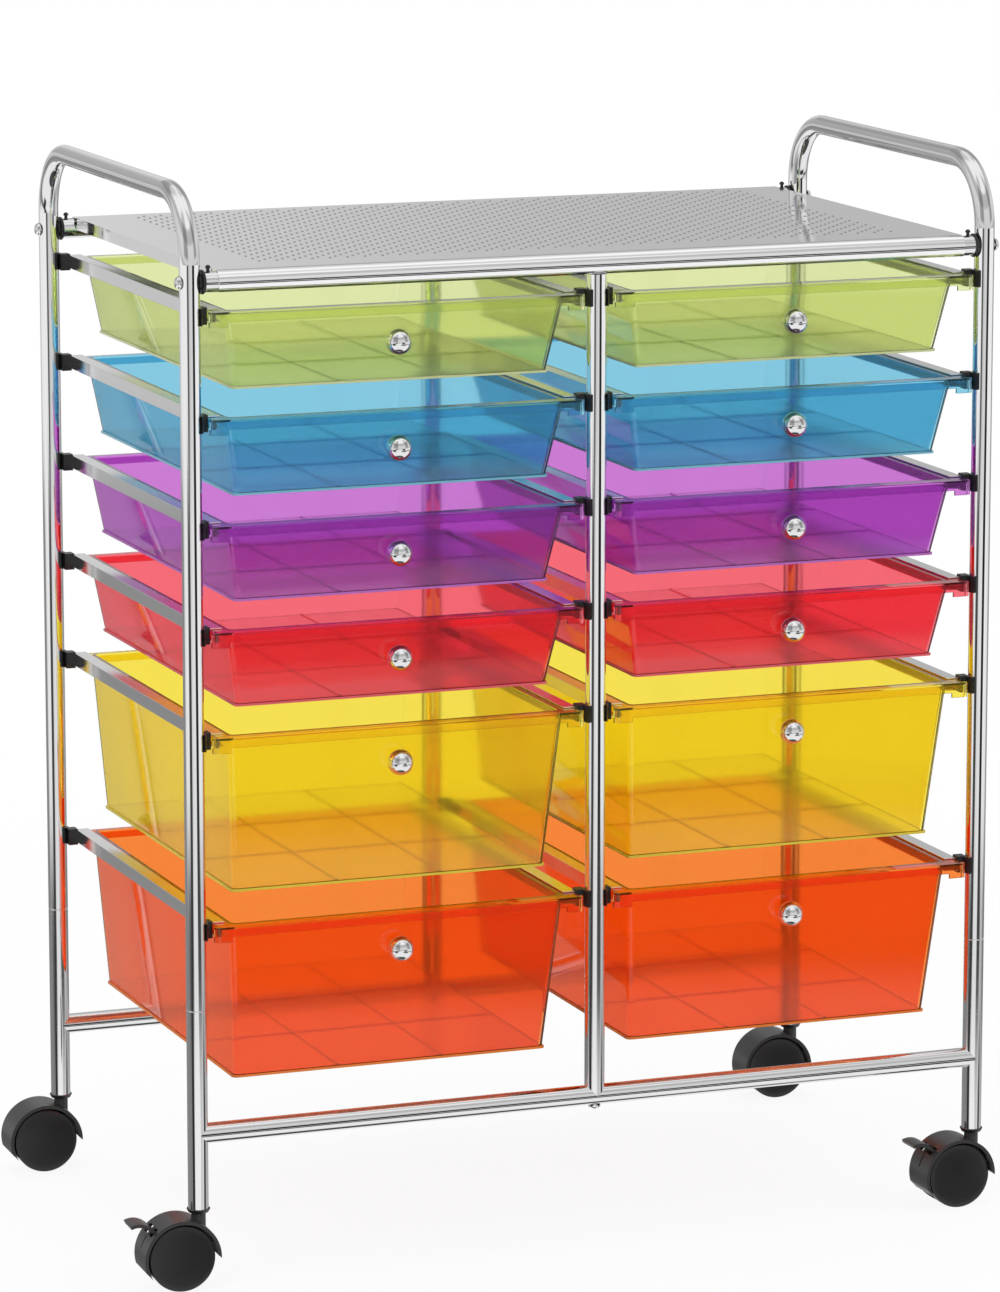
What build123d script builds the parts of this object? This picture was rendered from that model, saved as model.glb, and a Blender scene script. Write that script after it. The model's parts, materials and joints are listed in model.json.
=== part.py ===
from build123d import *
import math
import os

# A rolling drawer cart: two bent side tubes on a cross-tube base, a sheet tray on top,
# two columns of six tapered plastic drawers running in C rails, and four twin-wheel casters.
# The origin is on the floor, in the middle between the four posts.
# +X runs to the right as seen from the front, and the drawers pull out towards -Y.

# Frame sizes
post_spacing_x = 620.0
post_spacing_y = 344.0
tube_od = 15.0
tube_wall = 1.0
handle_height = 803.9
handle_bend_radius = 48.0
top_tube_z = 735.4
lower_tube_z = 113.9
leg_joint_z = 206.7
post_bottom_z = 58.4
base_joint_x = 23.0
spigot_length = 25.0
slip_clearance = 0.05
edge_chamfer = 0.4

# Fastener sizes
bolt_diameter = 5.0
bolt_head_diameter = 9.0
bolt_head_height = 3.4
bolt_thread_length = 10.0
post_screw_diameter = 5.0
post_screw_head_height = 2.6
cup_thickness = 2.6
cup_diameter = 16.0
plug_length = 9.0
peg_diameter = 3.4
peg_height = 4.6
peg_inset = 6.2
peg_depth = 2.2

# Tray sizes
tray_sheet = 0.8
tray_half_length = 290.5
tray_flange_height = 9.0
tray_roll_angle = 150.0
tray_flange_hole = 3.2
tray_flange_hole_y = 98.0
seat_clearance = 0.1

# Rail sizes
rail_rows = 6
large_rows = 2
rail_height = 9.8
rail_flange = 10.0
rail_sheet = 0.9
rail_half_length = 167.0
top_rail_bottom_z = 705.8
small_pitch = 76.85
large_pitch = 139.0
rail_gap = 6.0
clip_height = 12.4
clip_length = 9.0
clip_rail_overlap = 6.0
clip_collar = 1.6
clip_wrap_angle = 32.0
clip_pin_diameter = 4.0
clip_pin_length = 4.0

# Drawer sizes
drawer_wall = 2.0
rim_plate = 1.8
rim_front_overhang = 9.5
rim_front_y = -182.0
rim_rear_y = 166.0
rim_rear_overhang = 4.0
slide_clearance = 0.3
slide_side_clearance = 0.6
mouth_half_width = 128.8
small_floor_half_width = 119.8
large_floor_half_width = 121.0
small_front_lean = 9.5
large_front_lean = 17.5
rear_lean_share = 0.5
small_depth = 58.0
large_depth = 119.5
corner_radius = 4.0
ear_drop = 11.1
ear_overhang = 1.6
bead_width = 2.0
bead_height = 1.6
floor_rib_width = 1.6
floor_rib_height = 1.0
floor_panels_across = 3
floor_panels_along = 3

# Knob sizes
knob_diameter = 17.6
knob_drop = 28.0
knob_standoff = 10.0
knob_neck_diameter = 6.4
knob_base_diameter = 9.0
knob_base_height = 1.4
knob_screw_diameter = 4.0
knob_screw_head_diameter = 7.6
knob_screw_head_height = 2.2
knob_screw_depth = 9.0
knob_screw_end_gap = 0.2

# Caster sizes
wheel_diameter = 49.2
wheel_width = 7.6
wheel_gap = 11.4
wheel_rim = 3.0
wheel_disc = 2.2
wheel_dome = 1.6
wheel_hub_diameter = 12.0
axle_diameter = 5.0
axle_end_gap = 0.5
caster_trail = 15.6
caster_turns = {"front_left": 2.7, "front_right": -1.0, "rear_left": 2.0, "rear_right": 2.0}
hood_wall = 2.6
hood_gap = 1.6
hood_width = 31.0
hood_start = -2.0
hood_angle = 198.0
hood_front_slant = 5.0
hood_rear_slant = 15.0
hood_core_width = 10.0
core_start = 20.0
core_angle = 135.0
neck_diameter = 10.6
neck_gap = 0.3
stem_diameter = 7.0
stem_in_socket = 24.0
stem_in_hood = 24.0
socket_flange = 2.8
socket_flange_diameter = 17.6
lever_thickness = 2.6
lever_width = 20.0
lever_root_angle = 134.0
lever_knee_out = 5.5
lever_knee_up = 4.6
lever_tip_out = 18.5
lever_tip_up = 5.8
lever_arm_width = 4.8
lever_side_gap = 0.3
lever_pivot_radius = 17.0
lever_pivot_angle = 135.0
lever_pin_diameter = 3.0
lever_barrel_diameter = 6.0
arm_slot_start = 118.0
arm_slot_angle = 47.0
window_start = 128.0
window_angle = 14.0
vent_start = 143.5
vent_angle = 22.0
vent_width = 1.4

# Places worked out from the sizes above
tube_r = tube_od / 2
bore_r = tube_r - tube_wall
spigot_r = bore_r - slip_clearance
wheel_r = wheel_diameter / 2
hood_inner_r = wheel_r + hood_gap
hood_r = hood_inner_r + hood_wall
post_x = {"left": -post_spacing_x / 2, "right": post_spacing_x / 2}
post_y = {"front": -post_spacing_y / 2, "rear": post_spacing_y / 2}
inward = {"left": 1, "right": -1}
handle_z = handle_height - tube_r
column_x = {"left": -post_spacing_x / 4, "right": post_spacing_x / 4}
web_half_span = post_spacing_x / 4 - tube_r - rail_gap
small_rows = rail_rows - large_rows
rail_bottoms = [top_rail_bottom_z - small_pitch * row for row in range(small_rows + 1)]
for row in range(small_rows + 1, rail_rows):
    rail_bottoms.append(rail_bottoms[-1] - large_pitch)
slider_half_width = web_half_span - rail_sheet - slide_side_clearance
slider_height = rail_height - 2 * rail_sheet - 2 * slide_clearance
inner_corner_r = corner_radius - drawer_wall / 2
tube_end = tube_r + cup_thickness

os.makedirs("parts", exist_ok=True)


def save(piece, name):
    piece.part.label = name
    export_step(piece.part, f"parts/{name}.step")


# Side tubes: a post at the front, a post at the rear and the handle between them, in one bend
def side_tube(side):
    x = post_x[side]
    with BuildPart() as tube:
        with BuildLine() as path:
            FilletPolyline(
                (x, post_y["front"], leg_joint_z),
                (x, post_y["front"], handle_z),
                (x, post_y["rear"], handle_z),
                (x, post_y["rear"], leg_joint_z),
                radius=handle_bend_radius,
            )
        with BuildSketch(Plane(origin=(x, post_y["front"], leg_joint_z), z_dir=(0, 0, 1))):
            Circle(tube_r)
            Circle(bore_r, mode=Mode.SUBTRACT)
        sweep(path=path.line)
        end_circles = tube.edges().filter_by(GeomType.CIRCLE).group_by(Axis.Z)[0]
        chamfer(end_circles.group_by(SortBy.RADIUS)[-1], edge_chamfer)
        for y in post_y.values():
            for z in rail_bottoms:
                hole_plane = Plane(origin=(x, y, z + rail_height / 2), z_dir=(inward[side], 0, 0))
                with BuildSketch(hole_plane):
                    Circle(clip_pin_diameter / 2 + slip_clearance)
                extrude(amount=tube_od, mode=Mode.SUBTRACT)
            with BuildSketch(Plane(origin=(x, y, top_tube_z), z_dir=(inward[side], 0, 0))):
                Circle(bolt_diameter / 2 + slip_clearance)
            extrude(amount=tube_od, both=True, mode=Mode.SUBTRACT)
    return tube


for side in post_x:
    save(side_tube(side), f"{side}_side_tube")


# Base halves: a leg with a swaged spigot for the side tube, and half of a cross tube
def base_half(end, side):
    x = post_x[side]
    y = post_y[end]
    run_to = base_joint_x - x
    with BuildPart() as base:
        with BuildSketch(Plane(origin=(x, y, lower_tube_z), z_dir=(inward[side], 0, 0))):
            Circle(tube_r)
            Circle(bore_r, mode=Mode.SUBTRACT)
        extrude(amount=abs(run_to))
        with BuildSketch(Plane(origin=(x, y, post_bottom_z), z_dir=(0, 0, 1))):
            Circle(tube_r)
        extrude(amount=leg_joint_z - post_bottom_z, mode=Mode.SUBTRACT)
        with BuildSketch(Plane(origin=(x, y, 0), x_dir=(1, 0, 0), z_dir=(0, -1, 0))):
            with BuildLine():
                Polyline(
                    (bore_r, post_bottom_z),
                    (tube_r, post_bottom_z),
                    (tube_r, leg_joint_z - edge_chamfer),
                    (tube_r - edge_chamfer, leg_joint_z),
                    (spigot_r, leg_joint_z),
                    (spigot_r, leg_joint_z + spigot_length - tube_wall),
                    (spigot_r - tube_wall / 2, leg_joint_z + spigot_length),
                    (spigot_r - tube_wall, leg_joint_z + spigot_length),
                    (spigot_r - tube_wall, leg_joint_z - tube_wall),
                    (bore_r, leg_joint_z - 2 * tube_wall),
                    close=True,
                )
            make_face()
        revolve(axis=Axis((x, y, 0), (0, 0, 1)))
        if side == "left":
            with BuildSketch(Plane(origin=(base_joint_x - 2 * tube_wall, y, lower_tube_z), z_dir=(1, 0, 0))):
                Circle(bore_r)
                Circle(spigot_r - tube_wall, mode=Mode.SUBTRACT)
            extrude(amount=2 * tube_wall)
            with BuildSketch(Plane(origin=(base_joint_x, y, lower_tube_z), z_dir=(1, 0, 0))):
                Circle(spigot_r)
                Circle(spigot_r - tube_wall, mode=Mode.SUBTRACT)
            extrude(amount=spigot_length)
            with BuildSketch(Plane(origin=(0, y, lower_tube_z), z_dir=(0, 0, 1))):
                Circle(post_screw_diameter / 2 + slip_clearance)
            extrude(amount=tube_od, both=True, mode=Mode.SUBTRACT)
    return base


for end in post_y:
    for side in post_x:
        save(base_half(end, side), f"base_{end}_{side}")


# Cross tubes under the tray, closed at each end by a welded plug that takes the bolt
def top_tube(end):
    y = post_y[end]
    left_end = post_x["left"] + tube_end
    right_end = post_x["right"] - tube_end
    with BuildPart() as tube:
        with BuildSketch(Plane(origin=(left_end, y, top_tube_z), z_dir=(1, 0, 0))):
            Circle(tube_r)
        extrude(amount=right_end - left_end)
        with BuildSketch(Plane(origin=(left_end + plug_length, y, top_tube_z), z_dir=(1, 0, 0))):
            Circle(bore_r)
        extrude(amount=right_end - left_end - 2 * plug_length, mode=Mode.SUBTRACT)
        for side, x in post_x.items():
            with BuildSketch(Plane(origin=(x, y, top_tube_z), z_dir=(inward[side], 0, 0))):
                Circle(bolt_diameter / 2 + slip_clearance)
            extrude(amount=tube_end + plug_length, mode=Mode.SUBTRACT)
            peg_x = x + inward[side] * (tube_r + peg_inset)
            with BuildSketch(Plane(origin=(peg_x, y, top_tube_z + tube_r), z_dir=(0, 0, -1))):
                Circle(peg_diameter / 2 + slip_clearance)
            extrude(amount=peg_depth, mode=Mode.SUBTRACT)
        with BuildSketch(Plane(origin=(0, y, top_tube_z), z_dir=(0, 0, -1))):
            Circle(post_screw_diameter / 2 + slip_clearance)
        extrude(amount=tube_r, mode=Mode.SUBTRACT)
    return tube


for end in post_y:
    save(top_tube(end), f"top_tube_{end}")


# Centre posts: the foot is saddled on the lower cross tube, and the head pins into the top tube
with BuildPart() as centre_posts:
    for y in post_y.values():
        head_z = top_tube_z - tube_r
        with BuildSketch(Plane(origin=(0, y, lower_tube_z), z_dir=(0, 0, 1))):
            Circle(tube_r)
        extrude(amount=head_z - lower_tube_z)
        with BuildSketch(Plane(origin=(0, y, lower_tube_z + tube_r + plug_length), z_dir=(0, 0, 1))):
            Circle(bore_r)
        extrude(amount=head_z - lower_tube_z - tube_r - 2 * plug_length, mode=Mode.SUBTRACT)
        with BuildSketch(Plane(origin=(0, y, head_z), z_dir=(0, 0, 1))):
            Circle(post_screw_diameter / 2)
        extrude(amount=2 * tube_wall)
        with BuildSketch(Plane(origin=(0, y, lower_tube_z), z_dir=(0, 0, 1))):
            Circle(post_screw_diameter / 2 + slip_clearance)
        extrude(amount=tube_r + plug_length, mode=Mode.SUBTRACT)
        with BuildSketch(Plane(origin=(0, y, lower_tube_z), z_dir=(1, 0, 0))):
            Circle(tube_r)
        extrude(amount=tube_od, both=True, mode=Mode.SUBTRACT)
        for side in inward:
            for z in rail_bottoms:
                hole_plane = Plane(origin=(0, y, z + rail_height / 2), z_dir=(inward[side], 0, 0))
                with BuildSketch(hole_plane):
                    Circle(clip_pin_diameter / 2 + slip_clearance)
                extrude(amount=tube_od, mode=Mode.SUBTRACT)
save(centre_posts, "centre_posts")

# Tray: one sheet rolled over both cross tubes, with its sides folded down
roll_inner_r = tube_r + seat_clearance
roll_outer_r = roll_inner_r + tray_sheet
tray_top_z = top_tube_z + roll_outer_r
with BuildPart() as top_tray:
    with BuildSketch(Plane(origin=(-tray_half_length, 0, 0), x_dir=(0, 1, 0), z_dir=(1, 0, 0))):
        with BuildLine():
            front = (post_y["front"], top_tube_z)
            rear = (post_y["rear"], top_tube_z)
            outer_front = CenterArc(front, roll_outer_r, 90, tray_roll_angle)
            inner_front = CenterArc(front, roll_inner_r, 90, tray_roll_angle)
            outer_rear = CenterArc(rear, roll_outer_r, 90, -tray_roll_angle)
            inner_rear = CenterArc(rear, roll_inner_r, 90, -tray_roll_angle)
            Line(outer_front @ 0, outer_rear @ 0)
            Line(inner_front @ 0, inner_rear @ 0)
            Line(outer_front @ 1, inner_front @ 1)
            Line(outer_rear @ 1, inner_rear @ 1)
        make_face()
    extrude(amount=2 * tray_half_length)
    flange_length = post_spacing_y - 2 * roll_outer_r - 4 * tray_sheet
    flange_z = tray_top_z - tray_flange_height / 2
    for toward in inward.values():
        side_centre = (-toward * tray_half_length, 0, flange_z)
        with BuildSketch(Plane(origin=side_centre, x_dir=(0, 1, 0), z_dir=(toward, 0, 0))):
            Rectangle(flange_length, tray_flange_height)
            with Locations((tray_flange_hole_y, 0), (-tray_flange_hole_y, 0)):
                Circle(tray_flange_hole / 2, mode=Mode.SUBTRACT)
        extrude(amount=tray_sheet)
save(top_tray, "top_tray")


# Rails: rolled C channels, open towards the drawer that they carry
for side, toward in inward.items():
    web_x = column_x[side] - toward * web_half_span
    with BuildPart() as side_rails:
        with BuildSketch(Plane(origin=(web_x, rail_half_length, 0), x_dir=(1, 0, 0), z_dir=(0, -1, 0))):
            for z in rail_bottoms:
                with Locations((toward * rail_flange / 2, z + rail_height / 2)):
                    Rectangle(rail_flange, rail_height)
                with Locations((toward * (rail_flange / 2 + rail_sheet), z + rail_height / 2)):
                    Rectangle(rail_flange, rail_height - 2 * rail_sheet, mode=Mode.SUBTRACT)
        extrude(amount=2 * rail_half_length)
    save(side_rails, f"side_rails_{side}")

with BuildPart() as centre_rails:
    for side, toward in inward.items():
        web_x = column_x[side] + toward * web_half_span
        with BuildSketch(Plane(origin=(web_x, rail_half_length, 0), x_dir=(1, 0, 0), z_dir=(0, -1, 0))):
            for z in rail_bottoms:
                with Locations((-toward * rail_flange / 2, z + rail_height / 2)):
                    Rectangle(rail_flange, rail_height)
                with Locations((-toward * (rail_flange / 2 + rail_sheet), z + rail_height / 2)):
                    Rectangle(rail_flange, rail_height - 2 * rail_sheet, mode=Mode.SUBTRACT)
        extrude(amount=2 * rail_half_length)
save(centre_rails, "centre_rails")

# Rail clips: a plastic saddle on the post with a pin into it and a pad behind the rail's web
clip_spots = [
    (post_x["left"], 1),
    (0, -1),
    (0, 1),
    (post_x["right"], -1),
]
clip_reach = tube_r + rail_gap
clip_back = tube_r * math.cos(math.radians(clip_wrap_angle))
clip_neck_offset = post_spacing_y / 2 - rail_half_length + clip_rail_overlap - clip_length / 2
with BuildPart() as rail_clips:
    for y in post_y.values():
        neck_y = -math.copysign(clip_neck_offset, y)
        for z in rail_bottoms:
            middle_z = z + rail_height / 2
            for x, toward in clip_spots:
                with BuildSketch(Plane(origin=(x, y, middle_z - clip_height / 2), z_dir=(0, 0, 1))):
                    Circle(tube_r + clip_collar)
                    with Locations((toward * (clip_back - tube_od), 0)):
                        Rectangle(2 * tube_od, 2 * tube_od, mode=Mode.SUBTRACT)
                    with Locations((toward * (clip_back + clip_reach) / 2, neck_y)):
                        Rectangle(clip_reach - clip_back, clip_length)
                    Circle(tube_r, mode=Mode.SUBTRACT)
                extrude(amount=clip_height)
                with BuildSketch(Plane(origin=(x + toward * tube_r, y, middle_z), z_dir=(-toward, 0, 0))):
                    Circle(clip_pin_diameter / 2)
                extrude(amount=clip_pin_length)
save(rail_clips, "rail_clips")

# Cups: plastic washers, hollowed on one side to sit against the post
with BuildPart() as tube_end_cups:
    for side, x in post_x.items():
        for y in post_y.values():
            with BuildSketch(Plane(origin=(x, y, top_tube_z), z_dir=(inward[side], 0, 0))):
                Circle(cup_diameter / 2)
                Circle(bolt_diameter / 2 + slip_clearance, mode=Mode.SUBTRACT)
            extrude(amount=tube_end)
            with BuildSketch(Plane(origin=(x, y, top_tube_z - tube_od), z_dir=(0, 0, 1))):
                Circle(tube_r)
            extrude(amount=2 * tube_od, mode=Mode.SUBTRACT)
save(tube_end_cups, "tube_end_cups")

# Frame bolts: domed bolts through the posts, and pan-head screws up into the centre posts
bolt_dome_r = ((bolt_head_diameter / 2) ** 2 + bolt_head_height**2) / (2 * bolt_head_height)
with BuildPart() as frame_bolts:
    for side, x in post_x.items():
        for y in post_y.values():
            head_x = x - inward[side] * tube_r
            bolt_plane = Plane(origin=(head_x, y, top_tube_z), x_dir=(inward[side], 0, 0), z_dir=(0, -1, 0))
            with BuildSketch(bolt_plane):
                with BuildLine():
                    Line((0, 0), (0, bolt_head_diameter / 2))
                    RadiusArc((0, bolt_head_diameter / 2), (-bolt_head_height, 0), -bolt_dome_r)
                    Line((-bolt_head_height, 0), (0, 0))
                make_face()
                shank = tube_r + tube_end + bolt_thread_length - 2 * tube_wall
                with Locations((shank / 2, bolt_diameter / 4)):
                    Rectangle(shank, bolt_diameter / 2)
            revolve(axis=Axis((head_x, y, top_tube_z), (1, 0, 0)))
    for y in post_y.values():
        head_z = lower_tube_z - tube_r
        with BuildSketch(Plane(origin=(0, y, head_z), x_dir=(1, 0, 0), z_dir=(0, -1, 0))):
            with BuildLine():
                shank = tube_od + plug_length - tube_wall
                half_head = bolt_head_diameter / 2
                Polyline(
                    (0, shank),
                    (post_screw_diameter / 2, shank),
                    (post_screw_diameter / 2, 0),
                    (half_head, 0),
                    (half_head, -post_screw_head_height / 2),
                    (half_head - post_screw_head_height / 2, -post_screw_head_height),
                    (0, -post_screw_head_height),
                    close=True,
                )
            make_face()
        revolve(axis=Axis((0, y, head_z), (0, 0, 1)))
save(frame_bolts, "frame_bolts")

# Tray pegs: small domed pins standing on the bare ends of the top tubes, beside the tray
with BuildPart() as tray_pegs:
    for side, x in post_x.items():
        for y in post_y.values():
            peg_x = x + inward[side] * (tube_r + peg_inset)
            foot_z = top_tube_z + tube_r - peg_depth
            straight = peg_depth + peg_height - peg_diameter / 2
            with BuildSketch(Plane(origin=(peg_x, y, foot_z), x_dir=(1, 0, 0), z_dir=(0, -1, 0))):
                with BuildLine():
                    Polyline((0, straight), (0, 0), (peg_diameter / 2, 0), (peg_diameter / 2, straight))
                    CenterArc((0, straight), peg_diameter / 2, 0, 90)
                    Line((0, straight), (0, straight + peg_diameter / 2))
                make_face()
            revolve(axis=Axis((peg_x, y, foot_z), (0, 0, 1)))
save(tray_pegs, "tray_pegs")


# Caster sockets: plastic bushes pushed into the legs, with the leg standing on their flange
with BuildPart() as caster_sockets:
    for x in post_x.values():
        for y in post_y.values():
            with BuildSketch(Plane(origin=(x, y, 0), x_dir=(1, 0, 0), z_dir=(0, -1, 0))):
                with BuildLine():
                    inner = stem_diameter / 2 + slip_clearance
                    flange_z = post_bottom_z - socket_flange
                    Polyline(
                        (inner, flange_z),
                        (socket_flange_diameter / 2 - socket_flange / 2, flange_z),
                        (socket_flange_diameter / 2, post_bottom_z),
                        (spigot_r, post_bottom_z),
                        (spigot_r, post_bottom_z + stem_in_socket),
                        (inner, post_bottom_z + stem_in_socket),
                        close=True,
                    )
                make_face()
            revolve(axis=Axis((x, y, 0), (0, 0, 1)))
save(caster_sockets, "caster_sockets")


# Drawers: tapered trays with a skirted rim whose sides run in the rails
def drawer_sizes(row):
    if row >= small_rows:
        return large_depth, large_floor_half_width, large_front_lean
    return small_depth, small_floor_half_width, small_front_lean


def front_wall_plane(side, row):
    depth, floor_half_width, lean = drawer_sizes(row)
    rim_z = rail_bottoms[row] + rail_height - rail_sheet - slide_clearance
    tilt = math.atan2(lean, depth - slider_height)
    wall_drop = knob_drop - knob_standoff * math.sin(tilt)
    wall_y = rim_front_y + rim_front_overhang + (wall_drop - slider_height) * math.tan(tilt)
    normal = (0, -math.cos(tilt), -math.sin(tilt))
    return Plane(origin=(column_x[side], wall_y, rim_z - wall_drop), x_dir=(1, 0, 0), z_dir=normal)


def drawer(side, row):
    depth, floor_half_width, lean = drawer_sizes(row)
    x = column_x[side]
    rim_z = rail_bottoms[row] + rail_height - rail_sheet - slide_clearance
    floor_z = rim_z - depth
    shoulder_z = rim_z - slider_height
    mouth_front = rim_front_y + rim_front_overhang
    mouth_rear = rim_rear_y - rim_rear_overhang
    foot_front = mouth_front + lean
    foot_rear = mouth_rear - lean * rear_lean_share
    mouth_y = (mouth_front + mouth_rear) / 2
    foot_y = (foot_front + foot_rear) / 2
    mouth_length = mouth_rear - mouth_front
    foot_length = foot_rear - foot_front
    rise = drawer_wall / (depth - slider_height)
    inner_foot_z = floor_z + drawer_wall
    inner_front = foot_front - rise * lean + drawer_wall
    inner_rear = foot_rear + rise * lean * rear_lean_share - drawer_wall
    inner_half_width = floor_half_width + rise * (mouth_half_width - floor_half_width) - drawer_wall
    with BuildPart() as body:
        with BuildSketch(Plane.XY.offset(floor_z)):
            with Locations((x, foot_y)):
                RectangleRounded(2 * floor_half_width, foot_length, corner_radius)
        with BuildSketch(Plane.XY.offset(shoulder_z)):
            with Locations((x, mouth_y)):
                RectangleRounded(2 * mouth_half_width, mouth_length, corner_radius)
        loft()
        with BuildSketch(Plane.XY.offset(shoulder_z)):
            with Locations((x, mouth_y)):
                RectangleRounded(2 * mouth_half_width, mouth_length, corner_radius)
        extrude(amount=slider_height)
        with BuildSketch(Plane.XY.offset(rim_z - rim_plate)):
            with Locations((x, (rim_front_y + rim_rear_y) / 2)):
                RectangleRounded(2 * slider_half_width, rim_rear_y - rim_front_y, rim_plate)
        extrude(amount=rim_plate)
        with BuildSketch(Plane.XY.offset(shoulder_z)):
            with Locations((x, (rim_front_y + rim_rear_y) / 2)):
                RectangleRounded(2 * slider_half_width, rim_rear_y - rim_front_y, rim_plate)
                Rectangle(
                    2 * (slider_half_width - rim_plate),
                    rim_rear_y - rim_front_y - 2 * rim_plate,
                    mode=Mode.SUBTRACT,
                )
        extrude(amount=slider_height)
        ear_inner = mouth_half_width
        ear_outer = web_half_span + ear_overhang
        with BuildSketch(Plane.XY.offset(rim_z - ear_drop)):
            for hand in (-1, 1):
                with Locations((x + hand * (ear_inner + ear_outer) / 2, rim_front_y + rim_plate / 2)):
                    Rectangle(ear_outer - ear_inner, rim_plate)
        extrude(amount=ear_drop)
        with BuildSketch(Plane.XY.offset(floor_z)):
            with Locations((x, foot_y)):
                RectangleRounded(
                    2 * (floor_half_width + bead_width),
                    foot_length + 2 * bead_width,
                    corner_radius + bead_width,
                )
        extrude(amount=bead_height)
        with BuildSketch(Plane.XY.offset(inner_foot_z)):
            with Locations((x, (inner_front + inner_rear) / 2)):
                RectangleRounded(2 * inner_half_width, inner_rear - inner_front, inner_corner_r)
        with BuildSketch(Plane.XY.offset(shoulder_z)) as mouth:
            with Locations((x, mouth_y)):
                RectangleRounded(
                    2 * (mouth_half_width - drawer_wall),
                    mouth_length - 2 * drawer_wall,
                    inner_corner_r,
                )
        loft(mode=Mode.SUBTRACT)
        extrude(mouth.sketch, amount=slider_height, mode=Mode.SUBTRACT)
        with BuildSketch(Plane.XY.offset(inner_foot_z)):
            panel_width = 2 * floor_half_width / floor_panels_across
            panel_length = foot_length / floor_panels_along
            with GridLocations(panel_width, 0, floor_panels_across - 1, 1):
                with Locations((x, foot_y)):
                    Rectangle(floor_rib_width, foot_length - 2 * drawer_wall)
            with GridLocations(0, panel_length, 1, floor_panels_along - 1):
                with Locations((x, foot_y)):
                    Rectangle(2 * (floor_half_width - drawer_wall), floor_rib_width)
        extrude(amount=floor_rib_height)
        with BuildSketch(front_wall_plane(side, row)):
            Circle(knob_screw_diameter / 2 + slip_clearance)
        extrude(amount=2 * drawer_wall, both=True, mode=Mode.SUBTRACT)
    return body


# Knobs: turned balls on the drawer fronts, each held by a screw from inside
def knob(side, row):
    wall = front_wall_plane(side, row)
    profile = Plane(origin=wall.origin, x_dir=wall.x_dir, z_dir=wall.x_dir.cross(wall.z_dir))
    ball_r = knob_diameter / 2
    neck_r = knob_neck_diameter / 2
    base_r = knob_base_diameter / 2
    shank_r = knob_screw_diameter / 2
    bore = shank_r + slip_clearance
    ball_z = knob_standoff
    meet = ball_z - math.sqrt(ball_r**2 - neck_r**2)
    screw_end = knob_screw_depth - knob_screw_end_gap
    head_r = knob_screw_head_diameter / 2
    head_seat = -drawer_wall - slip_clearance
    head_end = -drawer_wall - knob_screw_head_height
    with BuildPart() as piece:
        with BuildSketch(profile):
            with BuildLine():
                Polyline(
                    (0, ball_z + ball_r),
                    (0, knob_screw_depth),
                    (bore, knob_screw_depth),
                    (bore, 0),
                    (base_r, 0),
                    (base_r, knob_base_height / 2),
                    (neck_r, knob_base_height),
                    (neck_r, meet),
                )
                ThreePointArc((neck_r, meet), (ball_r, ball_z), (0, ball_z + ball_r))
            make_face()
        revolve(axis=Axis(wall.origin, wall.z_dir))
        with BuildSketch(profile):
            with BuildLine():
                Polyline(
                    (0, screw_end),
                    (0, head_end),
                    (head_r - knob_screw_head_height / 2, head_end),
                    (head_r, head_end + knob_screw_head_height / 2),
                    (head_r, head_seat),
                    (shank_r, head_seat),
                    (shank_r, screw_end),
                    close=True,
                )
            make_face()
        revolve(axis=Axis(wall.origin, wall.z_dir))
    return piece


for side in post_x:
    for row in range(rail_rows):
        save(drawer(side, row), f"drawer_{side}_{row + 1}")
        save(knob(side, row), f"knob_{side}_{row + 1}")


# Casters: each is drawn in a side view whose origin is the wheels' centre, turned about the leg
def caster_view(end, side):
    turn = math.radians(caster_turns[f"{end}_{side}"])
    forward = Vector(math.cos(turn), -math.sin(turn), 0)
    towards_front = Vector(-math.sin(turn), -math.cos(turn), 0)
    centre = Vector(post_x[side], post_y[end], wheel_r) - forward * caster_trail
    return Plane(origin=centre, x_dir=forward, z_dir=towards_front)


# Wheels: each has a tread, a hub on the axle and a shallow domed disc on its outer side
def wheel(end, side, outer):
    view = caster_view(end, side)
    along = view.z_dir * (outer if end == "front" else -outer)
    profile = Plane(origin=view.origin, x_dir=along, z_dir=along.cross(Vector(0, 0, 1)))
    inside = wheel_gap / 2
    rim_x = inside + wheel_width
    disc_x = rim_x - wheel_disc
    dome_r = (wheel_r**2 + wheel_dome**2) / (2 * wheel_dome)
    hub_r = wheel_hub_diameter / 2
    bore = axle_diameter / 2 + slip_clearance
    with BuildPart() as piece:
        with BuildSketch(profile):
            with BuildLine():
                Polyline(
                    (rim_x + wheel_dome, 0),
                    (disc_x, 0),
                    (disc_x, bore),
                    (inside, bore),
                    (inside, hub_r),
                    (disc_x, hub_r),
                    (disc_x, wheel_r - wheel_rim),
                    (inside, wheel_r - wheel_rim),
                    (inside, wheel_r - edge_chamfer),
                    (inside + edge_chamfer, wheel_r),
                    (rim_x, wheel_r),
                )
                RadiusArc((rim_x, wheel_r), (rim_x + wheel_dome, 0), dome_r)
            make_face()
        revolve(axis=Axis(view.origin, along))
    return piece


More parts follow.
